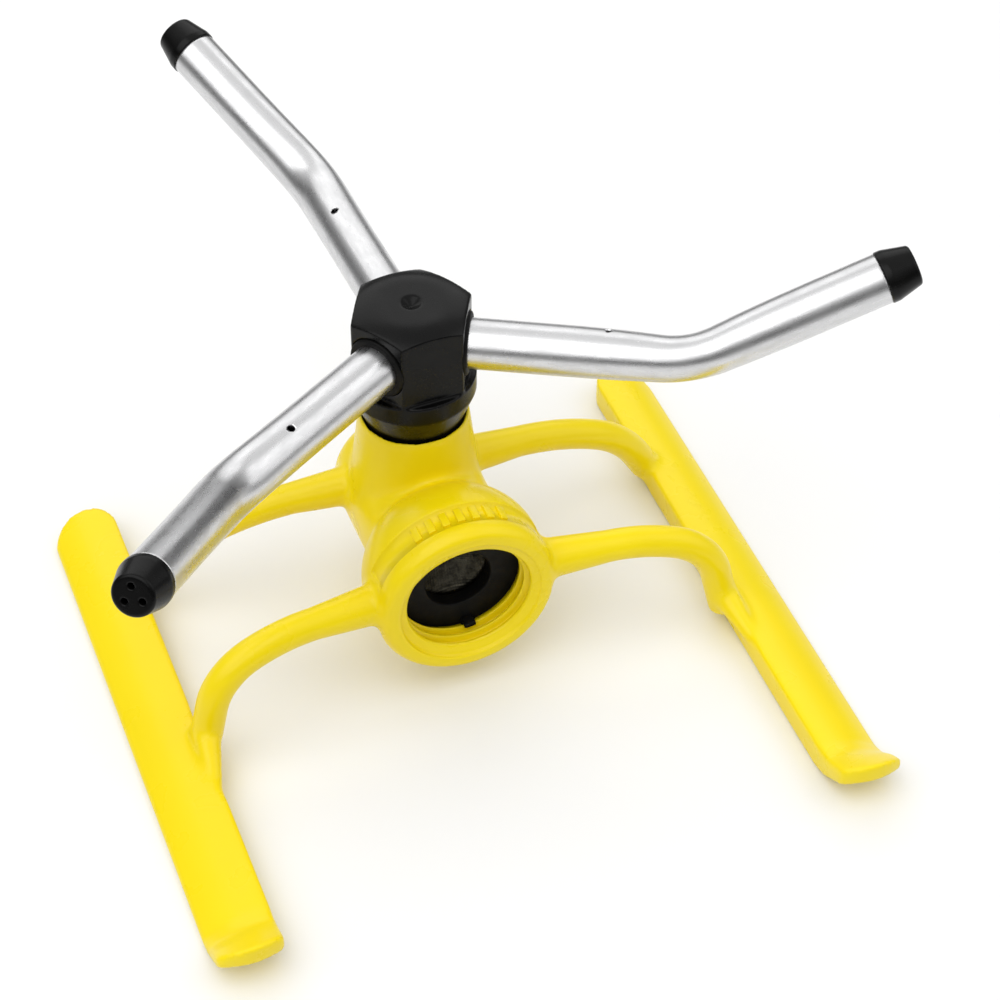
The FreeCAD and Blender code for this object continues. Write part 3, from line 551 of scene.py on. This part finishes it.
def grip_ribs():
    """Plain raised bars in the band on top of the cup."""
    bm = bmesh.new()
    for index in range(RIB_COUNT):
        angle = -RIB_SPREAD / 2 + RIB_SPREAD * index / (RIB_COUNT - 1)
        turn = Matrix.Rotation(angle, 4, "Y")
        lift = Matrix.Translation((0, (BAND_START + BAND_END) / 2, BAND_RADIUS))
        size = Matrix.Diagonal((RIB_WIDTH, RIB_LENGTH, RIB_HEIGHT * 2, 1))
        place = Matrix.Translation((0, 0, BARREL_HEIGHT)) @ turn @ lift @ size
        bmesh.ops.create_cube(bm, size=1, matrix=place)
    piece = from_bmesh("grip_ribs", bm)
    round_edges(piece, RIB_EDGE)
    return declare(piece, "base", "yellow_plastic")


def washer_reach(radius, angle):
    """Stretch the washer's outer edge into three ears, one of them at the bottom."""
    if radius < WASHER_RADIUS - WASHER_ROUND * 1.5:
        return radius
    from_ear = abs((angle - EAR_ANGLE + math.pi / 3) % (2 * math.pi / 3) - math.pi / 3)
    bump = min(max((EAR_HALF + EAR_SIDE - from_ear) / EAR_SIDE, 0), 1)
    return radius + EAR_REACH * bump * bump * (3 - 2 * bump)


def rubber_washer():
    """Hose washer with rounded edges and its ears."""
    front, back = CUP_SEAT - WASHER_THICK, CUP_SEAT - WASHER_GAP
    section = []
    for y, radius, start in ((front, WASHER_RADIUS, -90), (back, WASHER_RADIUS, 0),
                             (back, WASHER_HOLE, 90), (front, WASHER_HOLE, 180)):
        centre_y = y + WASHER_ROUND if y == front else y - WASHER_ROUND
        centre_r = radius - WASHER_ROUND if radius == WASHER_RADIUS else radius + WASHER_ROUND
        for step in range(ROUND_STEPS + 1):
            turn = math.radians(start + 90 * step / ROUND_STEPS)
            section.append((centre_y + WASHER_ROUND * math.sin(turn),
                            centre_r + WASHER_ROUND * math.cos(turn)))
    washer = turned_mesh("rubber_washer", washer_reach, section, WASHER_SIDES, closed=True)
    return declare(washer, "base", "black_rubber", ("hose_washer",))


def washer_tab():
    """Small tongue that the bottom ear folds forward over the thread."""
    section = ((TAB_FRONT, TAB_OUTER), (TAB_BACK, TAB_OUTER), (TAB_BACK, TAB_INNER), (TAB_FRONT, TAB_INNER))
    tab = curved_block("washer_tab", section, EAR_ANGLE, TAB_HALF, TAB_STEPS)
    round_edges(tab, TAB_EDGE)
    return declare(tab, "base", "black_rubber")


def inlet_gauze():
    """Strainer of fine gauze, dished away from the hose inside a flat rim."""
    section = [(SCREEN_FRONT + SCREEN_THICK, SCREEN_RADIUS), (SCREEN_FRONT, SCREEN_RADIUS)]
    for step in range(DISH_STEPS + 1):
        radius = DISH_RADIUS * (1 - step / DISH_STEPS) + DISH_HOLE
        section.append((SCREEN_FRONT + SCREEN_DISH * (1 - (radius / DISH_RADIUS) ** 2), radius))
    section += [(y + SCREEN_THICK, radius) for y, radius in reversed(section[2:])]
    gauze = turned_mesh("inlet_gauze", None, section, SCREEN_SIDES, closed=True)
    return declare(gauze, "base", "stainless_steel", ("inlet_screen",), look="woven_steel")


# ---------------------------------------------------------------- rotor

def arm_frame(index):
    """Frame of an arm at the tube's inner end: X along the tube, Z towards the bend."""
    yaw = Matrix.Rotation(ARM_AZIMUTH + index * 2 * math.pi / ARM_COUNT, 4, "Z")
    start = Matrix.Translation((TUBE_ROOT, 0, ARM_HEIGHT))
    return yaw @ start @ Matrix.Rotation(-ELBOW_ROLL, 4, "X")


def centreline(distance):
    """Point and heading angle of the tube's centreline at a distance from its inner end."""
    setback = ELBOW_RADIUS * math.tan(ELBOW_ANGLE / 2)
    straight = ELBOW_REACH - TUBE_ROOT - setback
    arc = ELBOW_RADIUS * ELBOW_ANGLE
    turn = min(max((distance - straight) / arc, 0), 1) * ELBOW_ANGLE
    point = Vector((min(distance, straight) + ELBOW_RADIUS * math.sin(turn), 0,
                    ELBOW_RADIUS * (1 - math.cos(turn))))
    beyond = max(distance - straight - arc, 0)
    heading = Vector((math.cos(turn), 0, math.sin(turn)))
    return point + heading * beyond, turn


def tube_length():
    setback = ELBOW_RADIUS * math.tan(ELBOW_ANGLE / 2)
    return ELBOW_REACH - TUBE_ROOT + TIP_LENGTH - 2 * setback + ELBOW_RADIUS * ELBOW_ANGLE


OVAL_REACH = 13 * MM
OVAL_THIN = 0.09
OVAL_WIDE = 0.045
PINCH_DEPTH = 0.22 * MM
PINCH_REACH = 7.5 * MM
TUBE_RINGS = 150
TUBE_SIDES = 72


def from_bend(distance):
    """Distance along the tube from the middle of its bend."""
    setback = ELBOW_RADIUS * math.tan(ELBOW_ANGLE / 2)
    return distance - (ELBOW_REACH - TUBE_ROOT - setback + ELBOW_RADIUS * ELBOW_ANGLE / 2)


def tube_ring(bm, distance, radius):
    """One ring of vertices round the centreline, flattened and pinched near the bend."""
    point, turn = centreline(distance)
    out = Vector((-math.sin(turn), 0, math.cos(turn)))
    flat = math.exp(-(from_bend(distance) / OVAL_REACH) ** 2)
    pinch = PINCH_DEPTH * math.exp(-(from_bend(distance) / PINCH_REACH) ** 2)
    tall = radius * (1 - OVAL_THIN * flat)
    wide = radius * (1 + OVAL_WIDE * flat)
    ring = []
    for side in range(TUBE_SIDES):
        angle = side * 2 * math.pi / TUBE_SIDES
        dent = pinch * max(math.cos(angle), 0) ** 3
        ring.append(bm.verts.new(point + out * (tall * math.cos(angle) - dent)
                                 + Vector((0, wide * math.sin(angle), 0))))
    return ring


def tube_mesh(name):
    """Bent tube with its wall, flattened at the bend, with coordinates along and round it."""
    bm = bmesh.new()
    along_round = bm.loops.layers.uv.new("drawn")
    length = tube_length()
    steps = [(length * ring / TUBE_RINGS, TUBE_RADIUS) for ring in range(TUBE_RINGS + 1)]
    steps += [(distance, TUBE_BORE) for distance, _ in reversed(steps)]
    rings = [tube_ring(bm, distance, radius) for distance, radius in steps]
    for index, (first, second) in enumerate(zip(rings, rings[1:] + rings[:1])):
        for side in range(TUBE_SIDES):
            after = (side + 1) % TUBE_SIDES
            face = bm.faces.new((first[side], first[after], second[after], second[side]))
            for loop, (ring, turn) in zip(face.loops, ((index, side), (index, side + 1),
                                                       (index + 1, side + 1), (index + 1, side))):
                loop[along_round].uv = (ring / TUBE_RINGS, turn / TUBE_SIDES)
    bmesh.ops.recalc_face_normals(bm, faces=bm.faces)
    return from_bmesh(name, bm)


def drill_jet(tube):
    """Small side jet through the upper wall of the straight part."""
    bm = bmesh.new()
    lean = Matrix.Rotation(ELBOW_ROLL - JET_ANGLE, 4, "X")
    along = Matrix.Translation((JET_REACH - TUBE_ROOT, 0, 0))
    place = along @ lean @ Matrix.Translation((0, 0, TUBE_RADIUS))
    bmesh.ops.create_cone(bm, cap_ends=True, segments=JET_SIDES, radius1=JET_RADIUS, radius2=JET_RADIUS,
                          depth=TUBE_RADIUS, matrix=place)
    cut_from(tube, from_bmesh("jet_drill", bm))


def arms():
    """Tubes and nozzle caps, one set per arm."""
    for index in range(ARM_COUNT):
        tube = tube_mesh(f"drawn_tube_{index + 1}")
        drill_jet(tube)
        tube.data.transform(arm_frame(index))
        declare(tube, "rotor", "tube_aluminium", (f"arm_tube_{index + 1}",))
        cap = moulded(f"cap_skin_{index + 1}", (f"nozzle_cap_{index + 1}",), CAP_VOXEL, CAP_PASSES)
        declare(cap, "rotor", "black_plastic", (f"nozzle_cap_{index + 1}",))


def rotor():
    skin = moulded("hub_skin", ("hub",), HUB_VOXEL, HUB_PASSES)
    declare(skin, "rotor", "black_plastic", ("hub",))
    arms()


# ---------------------------------------------------------------- stage

CAMERA_AZIMUTH = math.radians(-20.86)
CAMERA_ELEVATION = math.radians(43.49)
CAMERA_ROLL = math.radians(0.32)
CAMERA_PLACE = (-0.13013, -0.38960, 0.41204)
CAMERA_LENS = 100.19

# Softboxes: name, place, width, height, power in watts
SOFTBOXES = (
    ("key", (-0.50, -0.30, 0.80), 1.30, 1.10, 6.0),
    ("fill", (0.75, -0.30, 0.55), 0.80, 0.90, 2.0),
    ("back", (0.15, 0.80, 0.60), 1.40, 0.70, 2.8),
)
# World: height of a direction from -1 to 1 (moved to 0..1), and its brightness
SKY = ((0.45, 0.30), (0.58, 0.12), (0.80, 0.62), (1.0, 1.05))
# Floor: closeness to the middle (1 minus the distance) and its tone, pale under the object: a painted pool
# of light there, with painted shade further out
FLOOR_SHADE_FAR = (0.56, 0.30)
FLOOR_LIT_NEAR = (0.72, 0.86)
FLOOR_HALF = 3
FLOOR_DROP = 0.2 * MM
AIM_HEIGHT = 0.03


def camera():
    data = bpy.data.cameras.new("camera")
    data.lens = CAMERA_LENS
    data.clip_start = 0.01
    view = bpy.data.objects.new("camera", data)
    bpy.context.scene.collection.objects.link(view)
    place = Matrix.Translation(CAMERA_PLACE)
    azimuth = Matrix.Rotation(CAMERA_AZIMUTH, 4, "Z")
    elevation = Matrix.Rotation(math.pi / 2 - CAMERA_ELEVATION, 4, "X")
    view.matrix_world = place @ azimuth @ elevation @ Matrix.Rotation(CAMERA_ROLL, 4, "Z")
    bpy.context.scene.camera = view


def lights():
    for name, place, width, height, power in SOFTBOXES:
        data = bpy.data.lights.new(name, "AREA")
        data.shape = "RECTANGLE"
        data.size = width
        data.size_y = height
        data.energy = power
        lamp = bpy.data.objects.new(name, data)
        bpy.context.scene.collection.objects.link(lamp)
        lamp.location = place
        aim = Vector((0, 0, AIM_HEIGHT)) - Vector(place)
        lamp.rotation_euler = aim.to_track_quat("-Z", "Y").to_euler()
    world = bpy.data.worlds.new("studio")
    world.use_nodes = True
    nodes = world.node_tree.nodes
    links = world.node_tree.links
    coords = nodes.new("ShaderNodeTexCoord")
    split = nodes.new("ShaderNodeSeparateXYZ")
    shift = nodes.new("ShaderNodeMapRange")
    shift.inputs["From Min"].default_value = -1
    ramp = nodes.new("ShaderNodeValToRGB")
    elements = ramp.color_ramp.elements
    while len(elements) < len(SKY):
        elements.new(0.5)
    for element, (height, brightness) in zip(elements, SKY):
        element.position = height
        element.color = (brightness, brightness, brightness, 1)
    links.new(coords.outputs["Generated"], split.inputs["Vector"])
    links.new(split.outputs["Z"], shift.inputs["Value"])
    links.new(shift.outputs["Result"], ramp.inputs["Fac"])
    links.new(ramp.outputs["Color"], nodes["Background"].inputs["Color"])
    bpy.context.scene.world = world
    bpy.context.scene.view_settings.view_transform = "Standard"


def floor():
    bm = bmesh.new()
    bmesh.ops.create_grid(bm, x_segments=1, y_segments=1, size=FLOOR_HALF)
    sheet = from_bmesh("floor", bm)
    sheet.location.z = -FLOOR_DROP
    kit = Shader("floor", Roughness=0.7)
    closeness = kit.node("ShaderNodeTexGradient", gradient_type="SPHERICAL")
    kit.link(kit.coords.outputs["Object"], closeness.inputs["Vector"])
    # Painted pool of light on the floor: pale under the object, with painted shade darker further out
    tone = kit.ramp(closeness.outputs["Fac"], FLOOR_SHADE_FAR, FLOOR_LIT_NEAR)
    sheet.data.materials.append(kit.wire(Base_Color=tone))


paint_cad_nodes()
base_skin()
grip_ribs()
rubber_washer()
washer_tab()
inlet_gauze()
rotor()
camera()
lights()
floor()
